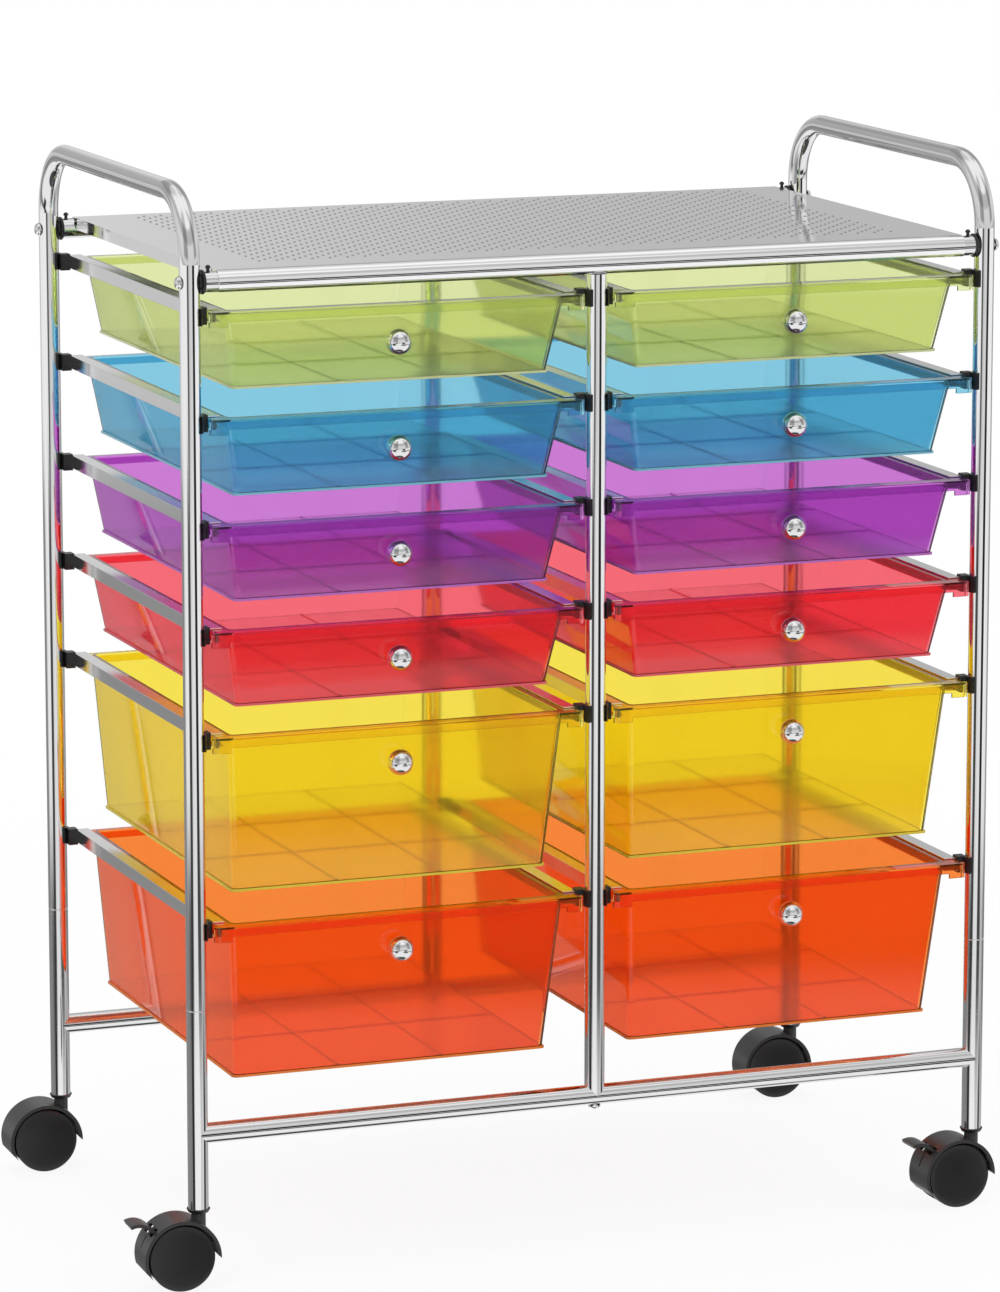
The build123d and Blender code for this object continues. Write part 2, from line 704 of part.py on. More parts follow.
# Hoods: a curved shell over both wheels with a solid core between them for the stem and axle
def hood(end, side):
    view = caster_view(end, side)
    neck_top = post_bottom_z - socket_flange - neck_gap
    leg_axis = Plane(origin=(post_x[side], post_y[end], neck_top), z_dir=(0, 0, -1))
    shell_middle_r = (hood_inner_r + hood_r) / 2
    core_height = math.sqrt(shell_middle_r**2 - (caster_trail + neck_diameter / 2) ** 2)
    with BuildPart() as piece:
        with BuildSketch(view):
            with BuildLine():
                outer_arc = CenterArc((0, 0), hood_r, hood_start, hood_angle)
                inner_start = hood_start + hood_front_slant
                inner_angle = hood_angle - hood_front_slant + hood_rear_slant
                inner_arc = CenterArc((0, 0), hood_inner_r, inner_start, inner_angle)
                Line(outer_arc @ 0, inner_arc @ 0)
                Line(outer_arc @ 1, inner_arc @ 1)
            make_face()
        extrude(amount=hood_width / 2, both=True)
        with BuildSketch(view):
            with BuildLine():
                core_arc = CenterArc((0, 0), shell_middle_r, core_start, core_angle)
                Line((0, 0), core_arc @ 0)
                Line((0, 0), core_arc @ 1)
            make_face()
            Circle(wheel_hub_diameter / 2)
            with Locations((caster_trail, core_height / 2)):
                Rectangle(neck_diameter, core_height)
        extrude(amount=hood_core_width / 2, both=True)
        with BuildSketch(leg_axis):
            Circle(neck_diameter / 2)
        extrude(amount=neck_top - wheel_r - core_height)
        with BuildSketch(leg_axis):
            Circle(stem_diameter / 2)
        extrude(amount=stem_in_hood, mode=Mode.SUBTRACT)
        with BuildSketch(view):
            Circle(axle_diameter / 2)
        extrude(amount=hood_core_width, both=True, mode=Mode.SUBTRACT)
        if end == "front":
            with BuildSketch(view):
                with BuildLine():
                    outer_cut = CenterArc((0, 0), hood_r + hood_wall, window_start, window_angle)
                    inner_cut = CenterArc((0, 0), hood_inner_r - hood_wall / 4, window_start, window_angle)
                    Line(outer_cut @ 0, inner_cut @ 0)
                    Line(outer_cut @ 1, inner_cut @ 1)
                make_face()
            extrude(amount=lever_width / 2 + lever_side_gap, both=True, mode=Mode.SUBTRACT)
            with BuildSketch(view):
                slot_r = lever_pivot_radius - lever_barrel_diameter / 2 - lever_side_gap
                with BuildLine():
                    outer_cut = CenterArc((0, 0), hood_inner_r, arm_slot_start, arm_slot_angle)
                    inner_cut = CenterArc((0, 0), slot_r, arm_slot_start, arm_slot_angle)
                    Line(outer_cut @ 0, inner_cut @ 0)
                    Line(outer_cut @ 1, inner_cut @ 1)
                make_face()
            extrude(amount=lever_arm_width / 2 + lever_side_gap, both=True, mode=Mode.SUBTRACT)
            with BuildSketch(view):
                with PolarLocations(lever_pivot_radius, 1, lever_pivot_angle):
                    Circle(lever_pin_diameter / 2 + slip_clearance)
            extrude(amount=hood_core_width, both=True, mode=Mode.SUBTRACT)
            with BuildSketch(view):
                with BuildLine():
                    outer_cut = CenterArc((0, 0), hood_r + hood_wall, vent_start, vent_angle)
                    inner_cut = CenterArc((0, 0), hood_inner_r - hood_wall / 4, vent_start, vent_angle)
                    Line(outer_cut @ 0, inner_cut @ 0)
                    Line(outer_cut @ 1, inner_cut @ 1)
                make_face()
            extrude(amount=vent_width / 2, both=True, mode=Mode.SUBTRACT)
    return piece


# Caster pins: the swivel stem in the leg's socket and the axle through both wheels
def caster_pins(end, side):
    view = caster_view(end, side)
    stem_foot = post_bottom_z - socket_flange - neck_gap - stem_in_hood
    with BuildPart() as pins:
        with BuildSketch(Plane(origin=(post_x[side], post_y[end], stem_foot), z_dir=(0, 0, 1))):
            Circle(stem_diameter / 2)
        extrude(amount=stem_in_hood + neck_gap + socket_flange + stem_in_socket)
        chamfer(pins.edges().group_by(Axis.Z)[-1], 2 * edge_chamfer)
        with BuildSketch(view):
            Circle(axle_diameter / 2)
        extrude(amount=wheel_gap / 2 + wheel_width - wheel_disc - axle_end_gap, both=True)
    return pins


# Brake levers: a bent foot plate with an arm and a pivot pin, held between the core's cheeks
def brake_lever(side):
    view = caster_view("front", side)
    root_r = (hood_inner_r + hood_r) / 2
    root_turn = math.radians(lever_root_angle)
    pivot_turn = math.radians(lever_pivot_angle)
    root = Vector(root_r * math.cos(root_turn), root_r * math.sin(root_turn))
    pivot = Vector(lever_pivot_radius * math.cos(pivot_turn), lever_pivot_radius * math.sin(pivot_turn))
    knee = root + Vector(-lever_knee_out, lever_knee_up)
    tip = root + Vector(-lever_tip_out, lever_tip_up)
    with BuildPart() as lever:
        with BuildSketch(view):
            with BuildLine():
                rise = TangentArc(root, knee, tangent=(-1, 1))
                TangentArc(knee, tip, tangent=rise % 1)
            trace(line_width=lever_thickness)
        extrude(amount=lever_width / 2, both=True)
        with BuildSketch(view):
            with BuildLine():
                Line(pivot, root)
            trace(line_width=lever_thickness)
            with Locations(pivot):
                Circle(lever_barrel_diameter / 2)
        extrude(amount=lever_arm_width / 2, both=True)
        with BuildSketch(view):
            with Locations(pivot):
                Circle(lever_pin_diameter / 2)
        extrude(amount=hood_core_width / 2, both=True)
    return lever


for end in post_y:
    for side in post_x:
        save(hood(end, side), f"caster_hood_{end}_{side}")
        save(caster_pins(end, side), f"caster_pins_{end}_{side}")
        save(wheel(end, side, 1), f"wheel_{end}_{side}_outer")
        save(wheel(end, side, -1), f"wheel_{end}_{side}_inner")

for side in post_x:
    save(brake_lever(side), f"brake_lever_{side}")
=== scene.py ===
import bmesh
import bpy
import json
import math
from mathutils import Matrix, Vector


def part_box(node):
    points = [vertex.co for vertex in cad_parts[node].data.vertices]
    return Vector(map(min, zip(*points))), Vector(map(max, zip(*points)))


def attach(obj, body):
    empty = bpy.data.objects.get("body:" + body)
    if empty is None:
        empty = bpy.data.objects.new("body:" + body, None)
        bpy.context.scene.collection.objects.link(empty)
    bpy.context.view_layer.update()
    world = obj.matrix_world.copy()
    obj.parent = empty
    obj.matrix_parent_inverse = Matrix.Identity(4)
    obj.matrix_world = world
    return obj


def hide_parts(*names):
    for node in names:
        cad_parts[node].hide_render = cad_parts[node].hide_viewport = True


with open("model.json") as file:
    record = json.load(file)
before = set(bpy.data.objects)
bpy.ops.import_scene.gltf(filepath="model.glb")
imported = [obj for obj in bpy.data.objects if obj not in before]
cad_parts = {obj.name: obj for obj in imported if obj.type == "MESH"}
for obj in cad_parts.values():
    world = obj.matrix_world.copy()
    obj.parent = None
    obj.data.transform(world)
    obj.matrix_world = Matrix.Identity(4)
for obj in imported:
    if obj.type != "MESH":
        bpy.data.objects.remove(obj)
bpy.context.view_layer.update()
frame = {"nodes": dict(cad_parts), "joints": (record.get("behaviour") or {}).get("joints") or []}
nodes = frame["nodes"]
scene = bpy.context.scene
mm = 0.001


# The view: a long lens a little above the cart and about twenty degrees to its left,
# aimed at the middle of the frame, as in the photograph.
view_turn = math.radians(-20.97)
view_rise = math.radians(10.74)
view_target = Vector((-0.0092, 0.0, 0.4233))
view_distance = 4.567
lens_sensor = 36.0
lens_length = 167.49
lens_clip = (0.1, 60.0)
view_back = Vector((
    math.sin(view_turn) * math.cos(view_rise),
    -math.cos(view_turn) * math.cos(view_rise),
    math.sin(view_rise),
))
lens = bpy.data.cameras.new("studio_camera")
lens.sensor_fit = "AUTO"
lens.sensor_width = lens_sensor
lens.lens = lens_length
lens.clip_start, lens.clip_end = lens_clip
camera = bpy.data.objects.new("studio_camera", lens)
camera.location = view_target + view_back * view_distance
camera.rotation_mode = "QUATERNION"
camera.rotation_quaternion = (-view_back).to_track_quat("-Z", "Y")
scene.collection.objects.link(camera)
scene.camera = camera
scene.view_settings.view_transform = "Standard"


# The floor: a wide pale sheet of studio paper that keeps the cart's soft shadow. The camera and
# the clear drawers see it nearly white, and polished metal sees the studio's walls instead.
floor_size = 30.0
floor_pale = 0.92
floor_near = 0.8
floor_far = 1.7
floor_near_white = 0.9
paper = bpy.data.materials.new("studio_paper")
paper.use_nodes = True
paper_tree = paper.node_tree
paper_tree.nodes.clear()
paper_lit = paper_tree.nodes.new("ShaderNodeBsdfDiffuse")
paper_lit.inputs["Color"].default_value = (floor_pale, floor_pale, floor_pale, 1.0)
paper_white = paper_tree.nodes.new("ShaderNodeEmission")
paper_white.inputs["Strength"].default_value = 1.0
paper_rays = paper_tree.nodes.new("ShaderNodeLightPath")
paper_seen = paper_tree.nodes.new("ShaderNodeMath")
paper_seen.operation = "MAXIMUM"
paper_place = paper_tree.nodes.new("ShaderNodeTexCoord")
paper_reach = paper_tree.nodes.new("ShaderNodeVectorMath")
paper_reach.operation = "LENGTH"
paper_fade = paper_tree.nodes.new("ShaderNodeMapRange")
paper_fade.interpolation_type = "SMOOTHSTEP"
paper_fade.inputs["From Min"].default_value = floor_near
paper_fade.inputs["From Max"].default_value = floor_far
paper_fade.inputs["To Min"].default_value = floor_near_white
paper_share = paper_tree.nodes.new("ShaderNodeMath")
paper_share.operation = "MULTIPLY"
paper_mix = paper_tree.nodes.new("ShaderNodeMixShader")
paper_out = paper_tree.nodes.new("ShaderNodeOutputMaterial")
paper_tree.links.new(paper_rays.outputs["Is Camera Ray"], paper_seen.inputs[0])
paper_tree.links.new(paper_rays.outputs["Is Transmission Ray"], paper_seen.inputs[1])
paper_tree.links.new(paper_place.outputs["Object"], paper_reach.inputs["Vector"])
paper_tree.links.new(paper_reach.outputs["Value"], paper_fade.inputs["Value"])
paper_tree.links.new(paper_seen.outputs["Value"], paper_share.inputs[0])
paper_tree.links.new(paper_fade.outputs["Result"], paper_share.inputs[1])
paper_tree.links.new(paper_share.outputs["Value"], paper_mix.inputs["Fac"])
paper_tree.links.new(paper_lit.outputs["BSDF"], paper_mix.inputs[1])
paper_tree.links.new(paper_white.outputs["Emission"], paper_mix.inputs[2])
paper_tree.links.new(paper_mix.outputs["Shader"], paper_out.inputs["Surface"])

floor_sheet = bmesh.new()
bmesh.ops.create_grid(floor_sheet, x_segments=1, y_segments=1, size=floor_size / 2)
floor_mesh = bpy.data.meshes.new("studio_floor")
floor_sheet.to_mesh(floor_mesh)
floor_sheet.free()
floor_mesh.materials.append(paper)
floor = bpy.data.objects.new("studio_floor", floor_mesh)
floor.visible_glossy = False
scene.collection.objects.link(floor)


# The studio: a white ceiling over grey walls, and a floor that is dark below the cart. Panels stand
# all round in bands, and polished metal mirrors them and the dark gaps between them, but not the
# lamps. The camera sees the backdrop white, and the clear drawers see it nearly so.
height_stops = [
    (-90, 0.07), (-68, 0.07), (-62, 0.95), (-30, 0.95), (-26, 1.0), (-4.6, 1.0), (-3.4, 0.45),
    (-1, 0.72), (18, 0.76), (26, 0.52), (40, 0.55), (50, 1.0), (90, 1.0),
]
wall_stops = [
    (-178, 0.55), (-150, 0.60), (-128, 0.64), (-112, 0.95), (-30, 1.0), (-24, 0.10), (-10, 0.12),
    (-5, 0.66), (28, 0.80), (35, 0.02), (55, 0.02), (60, 1.0), (116, 1.0), (126, 0.36),
    (164, 0.36), (172, 0.55),
]
low_stops = [
    (-178, 0.30), (-150, 0.27), (-118, 0.27), (-102, 0.30), (-86, 0.90), (-50, 1.0), (-42, 0.07),
    (-20, 0.05), (-13, 0.80), (26, 0.92), (32, 0.02), (55, 0.02), (60, 1.0), (108, 0.90),
    (122, 0.36), (164, 0.30),
]
knee_stops = [
    (-176, 0.28), (-80, 0.25), (-68, 0.12), (-40, 0.04), (-24, 0.05), (-14, 0.85), (24, 0.85),
    (31, 0.05), (64, 0.07), (70, 0.62), (98, 0.50), (110, 0.22),
]
leg_stops = [
    (-176, 0.30), (-68, 0.24), (-60, 0.22), (-54, 0.02), (-33, 0.04), (-26, 1.0), (30, 1.0),
    (40, 0.66), (62, 0.74), (68, 0.95), (74, 0.03), (94, 0.03), (100, 0.50), (176, 0.45),
]
floor_stops = [
    (-176, 0.35), (-122, 0.30), (-102, 0.90), (-60, 0.95), (-50, 0.05), (-32, 0.05), (-22, 0.90),
    (18, 0.92), (28, 0.04), (64, 0.04), (74, 0.92), (110, 0.85), (124, 0.30),
]
sky_stops = [
    (-172, 1.0), (-150, 0.62), (-124, 0.55), (-108, 1.0), (-56, 1.0), (-44, 0.5), (-14, 0.45),
    (-2, 1.0), (54, 1.0), (66, 0.5), (84, 0.45), (96, 1.0), (142, 1.0), (156, 0.55), (170, 0.62),
    (178, 0.68),
]
wall_share_stops = [(-30, 0.0), (-26, 1.0), (-4.4, 1.0), (-3.4, 0.0)]
low_share_stops = [(-9.5, 1.0), (-8.7, 0.0)]
knee_share_stops = [(-13.2, 1.0), (-12.2, 0.0)]
leg_share_stops = [(-14.8, 1.0), (-14.1, 0.0)]
floor_share_stops = [(-19.2, 1.0), (-18.2, 0.0)]
sky_share_stops = [(0, 0.0), (3.5, 1.0), (20, 1.0), (60, 0.75), (82, 0.0)]
room_light = 0.72
clear_white_share = 0.8

studio = bpy.data.worlds.new("studio")
scene.world = studio
studio.use_nodes = True
room = studio.node_tree
room.nodes.clear()
room_rays = room.nodes.new("ShaderNodeLightPath")
room_place = room.nodes.new("ShaderNodeTexCoord")
room_axes = room.nodes.new("ShaderNodeSeparateXYZ")


def stepped(tree, source, low, high, stops):
    level = tree.nodes.new("ShaderNodeMapRange")
    level.inputs["From Min"].default_value = low
    level.inputs["From Max"].default_value = high
    ramp = tree.nodes.new("ShaderNodeValToRGB")
    ramp.color_ramp.interpolation = "EASE"
    ramp.color_ramp.elements.remove(ramp.color_ramp.elements[1])
    for index, (place, shade) in enumerate(stops):
        share = (place - low) / (high - low)
        if index:
            stop = ramp.color_ramp.elements.new(share)
        else:
            stop = ramp.color_ramp.elements[0]
        stop.position = share
        stop.color = (shade, shade, shade, 1.0)
    tree.links.new(source, level.inputs["Value"])
    tree.links.new(level.outputs["Result"], ramp.inputs["Fac"])
    return ramp


room_bearing = room.nodes.new("ShaderNodeMath")
room_bearing.operation = "ARCTAN2"
room.links.new(room_place.outputs["Generated"], room_axes.inputs["Vector"])
room.links.new(room_axes.outputs["Y"], room_bearing.inputs[0])
room.links.new(room_axes.outputs["X"], room_bearing.inputs[1])
camera_bearing = math.degrees(math.atan2(view_back.y, view_back.x))


def around_room(stops):
    bearings = []
    for away, shade in stops:
        bearing = (camera_bearing + away + 180.0) % 360.0 - 180.0
        bearings.append((math.radians(bearing), shade))
    bearings.sort()
    first, last = bearings[0], bearings[-1]
    gap = first[0] + 2 * math.pi - last[0]
    seam = last[1] + (first[1] - last[1]) * (math.pi - last[0]) / gap
    bearings = [(-math.pi, seam)] + bearings + [(math.pi, seam)]
    return stepped(room, room_bearing.outputs["Value"], -math.pi, math.pi, bearings)


def up_room(stops):
    heights = [(math.sin(math.radians(rise)), shade) for rise, shade in stops]
    return stepped(room, room_axes.outputs["Z"], -1.0, 1.0, heights)


def blended(share, low, high, blend_type):
    mix = room.nodes.new("ShaderNodeMixRGB")
    mix.blend_type = blend_type
    room.links.new(share.outputs["Color"], mix.inputs["Fac"])
    room.links.new(low.outputs["Color"], mix.inputs["Color1"])
    room.links.new(high.outputs["Color"], mix.inputs["Color2"])
    return mix


room_panels = around_room(wall_stops)
for share_stops, panel_stops in (
    (low_share_stops, low_stops),
    (knee_share_stops, knee_stops),
    (leg_share_stops, leg_stops),
    (floor_share_stops, floor_stops),
):
    room_panels = blended(up_room(share_stops), room_panels, around_room(panel_stops), "MIX")
room_walls = blended(up_room(wall_share_stops), up_room(height_stops), room_panels, "MULTIPLY")
room_walls = blended(up_room(sky_share_stops), room_walls, around_room(sky_stops), "MULTIPLY")

room_mirrored = room.nodes.new("ShaderNodeBackground")
room_soft = room.nodes.new("ShaderNodeBackground")
room_soft.inputs["Color"].default_value = (1.0, 1.0, 1.0, 1.0)
room_soft.inputs["Strength"].default_value = room_light
room_white = room.nodes.new("ShaderNodeBackground")
room_white.inputs["Color"].default_value = (1.0, 1.0, 1.0, 1.0)
room_pale = room.nodes.new("ShaderNodeMixShader")
room_pale.inputs["Fac"].default_value = clear_white_share
room_metal = room.nodes.new("ShaderNodeMixShader")
room_clear = room.nodes.new("ShaderNodeMixShader")
room_seen = room.nodes.new("ShaderNodeMixShader")
room_out = room.nodes.new("ShaderNodeOutputWorld")
room.links.new(room_walls.outputs["Color"], room_mirrored.inputs["Color"])
room.links.new(room_rays.outputs["Is Glossy Ray"], room_metal.inputs["Fac"])
room.links.new(room_soft.outputs["Background"], room_metal.inputs[1])
room.links.new(room_mirrored.outputs["Background"], room_metal.inputs[2])
room.links.new(room_mirrored.outputs["Background"], room_pale.inputs[1])
room.links.new(room_white.outputs["Background"], room_pale.inputs[2])
room.links.new(room_rays.outputs["Is Transmission Ray"], room_clear.inputs["Fac"])
room.links.new(room_metal.outputs["Shader"], room_clear.inputs[1])
room.links.new(room_pale.outputs["Shader"], room_clear.inputs[2])
room.links.new(room_rays.outputs["Is Camera Ray"], room_seen.inputs["Fac"])
room.links.new(room_clear.outputs["Shader"], room_seen.inputs[1])
room.links.new(room_white.outputs["Background"], room_seen.inputs[2])
room.links.new(room_seen.outputs["Shader"], room_out.inputs["Surface"])


def soft_lamp(name, place, width, height, power):
    lamp = bpy.data.lights.new(name, "AREA")
    lamp.shape = "RECTANGLE"
    lamp.size = width
    lamp.size_y = height
    lamp.energy = power
    holder = bpy.data.objects.new(name, lamp)
    holder.location = place
    holder.rotation_mode = "QUATERNION"
    holder.rotation_quaternion = (view_target - Vector(place)).to_track_quat("-Z", "Y")
    holder.visible_glossy = False
    scene.collection.objects.link(holder)


soft_lamp("left_softbox", (-2.6, -1.6, 1.6), 1.2, 1.8, 26.0)
soft_lamp("right_softbox", (2.4, -2.2, 1.8), 1.0, 1.8, 22.0)
soft_lamp("top_softbox", (0.0, 0.3, 3.0), 2.2, 1.6, 26.0)


# The tube frame: drawn steel tube with bright chrome plating. Two bent side tubes slip over the
# spigots of the welded base, and cross tubes and centre posts are bolted between them.
tube_shade = 0.83
tube_roughness = (0.035, 0.075)
draw_line_stretch = (260.0, 260.0, 5.0)
draw_line_depth = 0.002 * mm
plating_blue = 1.01
noise_detail = 4.0


def new_material(name):
    material = bpy.data.materials.new(name)
    material.use_nodes = True
    tree = material.node_tree
    tree.nodes.clear()
    shader = tree.nodes.new("ShaderNodeBsdfPrincipled")
    output = tree.nodes.new("ShaderNodeOutputMaterial")
    tree.links.new(shader.outputs["BSDF"], output.inputs["Surface"])
    return material, tree, shader


def mottle(tree, shader, stretch, roughness, bump_height):
    place = tree.nodes.new("ShaderNodeTexCoord")
    scale = tree.nodes.new("ShaderNodeMapping")
    scale.inputs["Scale"].default_value = stretch
    noise = tree.nodes.new("ShaderNodeTexNoise")
    noise.inputs["Scale"].default_value = 1.0
    noise.inputs["Detail"].default_value = noise_detail
    spread = tree.nodes.new("ShaderNodeMapRange")
    spread.inputs["To Min"].default_value = roughness[0]
    spread.inputs["To Max"].default_value = roughness[1]
    bump = tree.nodes.new("ShaderNodeBump")
    bump.inputs["Strength"].default_value = 1.0
    bump.inputs["Distance"].default_value = bump_height
    tree.links.new(place.outputs["Object"], scale.inputs["Vector"])
    tree.links.new(scale.outputs["Vector"], noise.inputs["Vector"])
    tree.links.new(noise.outputs["Fac"], spread.inputs["Value"])
    tree.links.new(spread.outputs["Result"], shader.inputs["Roughness"])
    tree.links.new(noise.outputs["Fac"], bump.inputs["Height"])
    tree.links.new(bump.outputs["Normal"], shader.inputs["Normal"])


def plated_steel(name, shade, roughness, stretch, bump_height):
    material, tree, shader = new_material(name)
    shader.inputs["Base Color"].default_value = (shade, shade, shade * plating_blue, 1.0)
    shader.inputs["Metallic"].default_value = 1.0
    mottle(tree, shader, stretch, roughness, bump_height)
    return material


def dress(node, material):
    nodes[node].data.materials.clear()
    nodes[node].data.materials.append(material)


tube_chrome = plated_steel(
    "tube_chrome", tube_shade, tube_roughness, draw_line_stretch, draw_line_depth
)
cross_chrome = plated_steel(
    "cross_chrome", tube_shade, tube_roughness, draw_line_stretch[::-1], draw_line_depth
)
for node in ("left_side_tube", "right_side_tube", "centre_posts"):
    dress(node, tube_chrome)
for end in ("front", "rear"):
    dress(f"top_tube_{end}", cross_chrome)
    for side in ("left", "right"):
        dress(f"base_{end}_{side}", cross_chrome)


# Frame bolts: chromed steel with a low domed head on a thin lip. One goes through each post into
# the cross tube, and a pan-head screw goes up through each lower cross tube into a centre post.
bolt_lip = 0.5 * mm
bolt_recess_radius = 1.3 * mm
bolt_recess_depth = 0.8 * mm
bolt_head_reach = 3.4 * mm
bolt_head_radius = 4.5 * mm
bolt_dome_steps = 6
bolt_turn_steps = 32
crease_angle = math.radians(38)
weld_distance = 0.001 * mm


def turned(bm, outline, centre, axis, steps):
    start = axis.orthogonal().normalized()
    rim = [bm.verts.new(centre + start * radius + axis * along) for radius, along in outline]
    edges = [bm.edges.new(pair) for pair in zip(rim, rim[1:])]
    bmesh.ops.spin(
        bm, geom=rim + edges, cent=centre, axis=axis, angle=2 * math.pi, steps=steps, use_merge=True
    )
    bmesh.ops.remove_doubles(bm, verts=bm.verts, dist=weld_distance)


def place_piece(bm, name, material, slot, body, *replaced):
    mesh = bpy.data.meshes.new(name)
    bm.to_mesh(mesh)
    bm.free()
    mesh.shade_smooth()
    mesh.set_sharp_from_angle(angle=crease_angle)
    mesh.materials.append(material)
    piece = bpy.data.objects.new(name, mesh)
    scene.collection.objects.link(piece)
    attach(piece, body)
    if replaced:
        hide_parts(*replaced)
    return piece


dress("frame_bolts", tube_chrome)
bolt_low, bolt_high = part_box("frame_bolts")
top_tube_low, top_tube_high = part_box("top_tube_front")
bolt_z = (top_tube_low.z + top_tube_high.z) / 2
post_front_y = (top_tube_low.y + top_tube_high.y) / 2
bolt_caps = bmesh.new()
for outward, face_x in ((-1, bolt_low.x + bolt_head_reach), (1, bolt_high.x - bolt_head_reach)):
    for y in (post_front_y, -post_front_y):
        outline = [(bolt_head_radius - bolt_lip, 0.0), (bolt_head_radius + bolt_lip, 0.0)]
        outline += [(bolt_head_radius + bolt_lip, bolt_lip), (bolt_head_radius, 2 * bolt_lip)]
        for step in range(1, bolt_dome_steps):
            turn = math.pi / 2 * step / bolt_dome_steps
            radius = bolt_recess_radius + (bolt_head_radius - bolt_recess_radius) * math.cos(turn)
            rise = (bolt_head_reach - 2 * bolt_lip) * math.sin(turn)
            outline.append((radius, 2 * bolt_lip + rise))
        outline += [(bolt_recess_radius, bolt_head_reach)]
        outline += [(bolt_recess_radius, bolt_head_reach - bolt_recess_depth)]
        outline += [(0.0, bolt_head_reach - bolt_recess_depth)]
        cap_centre = Vector((face_x, y, bolt_z))
        turned(bolt_caps, outline, cap_centre, Vector((outward, 0, 0)), bolt_turn_steps)
bmesh.ops.recalc_face_normals(bolt_caps, faces=bolt_caps.faces)
place_piece(bolt_caps, "bolt_caps", tube_chrome, "bright_chrome", "frame")


# The tray: one chrome-plated sheet, rolled over both cross tubes, with its sides folded down.
# Small pimples are pressed up through the sheet in a staggered pattern, clear of the edges, and
# their chrome is painted dark: painted shade that stands in for the shade in the pressed dimples.
tray_shade = 0.94
tray_roughness = (0.055, 0.12)
tray_grain = (60.0, 14.0, 60.0)
tray_grain_depth = 0.01 * mm
# Painted shade: the pimples get a darker chrome in place of the shade in the pressed dimples.
dot_painted_shade = 0.42
dot_grain = (900.0, 900.0, 900.0)
dot_grain_depth = 0.004 * mm
dot_radius = 1.35 * mm
dot_crown = 0.45 * mm
dot_height = 0.55 * mm
dot_step_x = 6.7 * mm
dot_step_y = 7.5 * mm
dot_columns = 75
dot_rows = 40
dot_centre = Vector((2.0 * mm, 10.0 * mm, 0.0))
dot_sides = 8
dot_sunk = 0.02 * mm

tray_chrome = plated_steel("tray_chrome", tray_shade, tray_roughness, tray_grain, tray_grain_depth)
# A darker copy of the tray's chrome for the pimples, as painted shade.
dot_chrome_painted_shade = plated_steel("dot_chrome_painted_shade", dot_painted_shade, tray_roughness, dot_grain, dot_grain_depth)
dress("top_tray", tray_chrome)
tray_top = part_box("top_tray")[1].z
tray_dots = bmesh.new()
for row in range(dot_rows):
    for column in range(row % 2, dot_columns, 2):
        x = dot_centre.x + dot_step_x * (column - (dot_columns - 1) / 2)
        y = dot_centre.y + dot_step_y * (row - (dot_rows - 1) / 2)
        bmesh.ops.create_cone(
            tray_dots,
            cap_ends=True,
            segments=dot_sides,
            radius1=dot_radius,
            radius2=dot_crown,
            depth=dot_height,
            matrix=Matrix.Translation((x, y, tray_top + dot_height / 2 - dot_sunk)),
        )
place_piece(tray_dots, "tray_dots", dot_chrome_painted_shade, "bright_chrome", "frame")


# Cups, pegs and rail clips: small mouldings in black plastic. The cups seat the cross tubes on
# the round posts, and each clip is a saddle on a post that holds the end of a rail. The pegs are
# little mushrooms pushed into the bare ends of the cross tubes.
clip_shade = (0.012, 0.012, 0.013)
clip_roughness = (0.30, 0.42)
clip_grain = 900.0
moulding_ior = 1.5
fine_grain_depth = 0.01 * mm
flat_angle = math.radians(0.4)
small_moulding_edge = 0.35 * mm
cup_radius = 8.8 * mm
cup_flange = 1.9 * mm
cup_round = 0.5 * mm
cup_hub_radius = 5.6 * mm
cup_hub_depth = 2.2 * mm
cup_turn_steps = 40
peg_radius = 1.7 * mm
peg_head_radius = 2.0 * mm
peg_head_height = 2.5 * mm
peg_head_edge = 0.4 * mm
peg_stem_radius = 1.2 * mm
peg_dome_steps = 5
peg_turn_steps = 20


def moulded_plastic(name, colour, roughness, grain, bump_height):
    material, tree, shader = new_material(name)
    shader.inputs["Base Color"].default_value = (*colour, 1.0)
    shader.inputs["IOR"].default_value = moulding_ior
    mottle(tree, shader, (grain, grain, grain), roughness, bump_height)
    return material


def softened(node, name, material, slot, body, edge_width):
    bm = bmesh.new()
    bm.from_mesh(nodes[node].data)
    bmesh.ops.remove_doubles(bm, verts=bm.verts, dist=2 * weld_distance)
    bmesh.ops.dissolve_limit(bm, angle_limit=flat_angle, verts=bm.verts, edges=bm.edges)
    piece = place_piece(bm, name, material, slot, body, node)
    round_edges(piece, edge_width)
    return piece


def round_edges(piece, width):
    rounding = piece.modifiers.new("rounded_edges", "BEVEL")
    rounding.width = width
    rounding.segments = 2
    rounding.limit_method = "ANGLE"
    rounding.angle_limit = crease_angle
    rounding.harden_normals = True


clip_black = moulded_plastic("clip_black", clip_shade, clip_roughness, clip_grain, fine_grain_depth)
softened("rail_clips", "post_clips", clip_black, "black_plastic", "frame", small_moulding_edge)

tube_cups = bmesh.new()
for inward, face_x in ((1, top_tube_low.x), (-1, top_tube_high.x)):
    for y in (post_front_y, -post_front_y):
        outline = [
            (0.0, cup_flange + cup_hub_depth),
            (cup_hub_radius, cup_flange + cup_hub_depth),
            (cup_hub_radius, cup_flange),
            (cup_radius - cup_round, cup_flange),
            (cup_radius, cup_flange - cup_round),
            (cup_radius, cup_round),
            (cup_radius - cup_round, 0.0),
            (0.0, 0.0),
        ]
        cup_face = Vector((face_x, y, bolt_z))
        turned(tube_cups, outline, cup_face, Vector((-inward, 0, 0)), cup_turn_steps)
bmesh.ops.recalc_face_normals(tube_cups, faces=tube_cups.faces)
place_piece(tube_cups, "saddle_cups", clip_black, "black_plastic", "frame", "tube_end_cups")

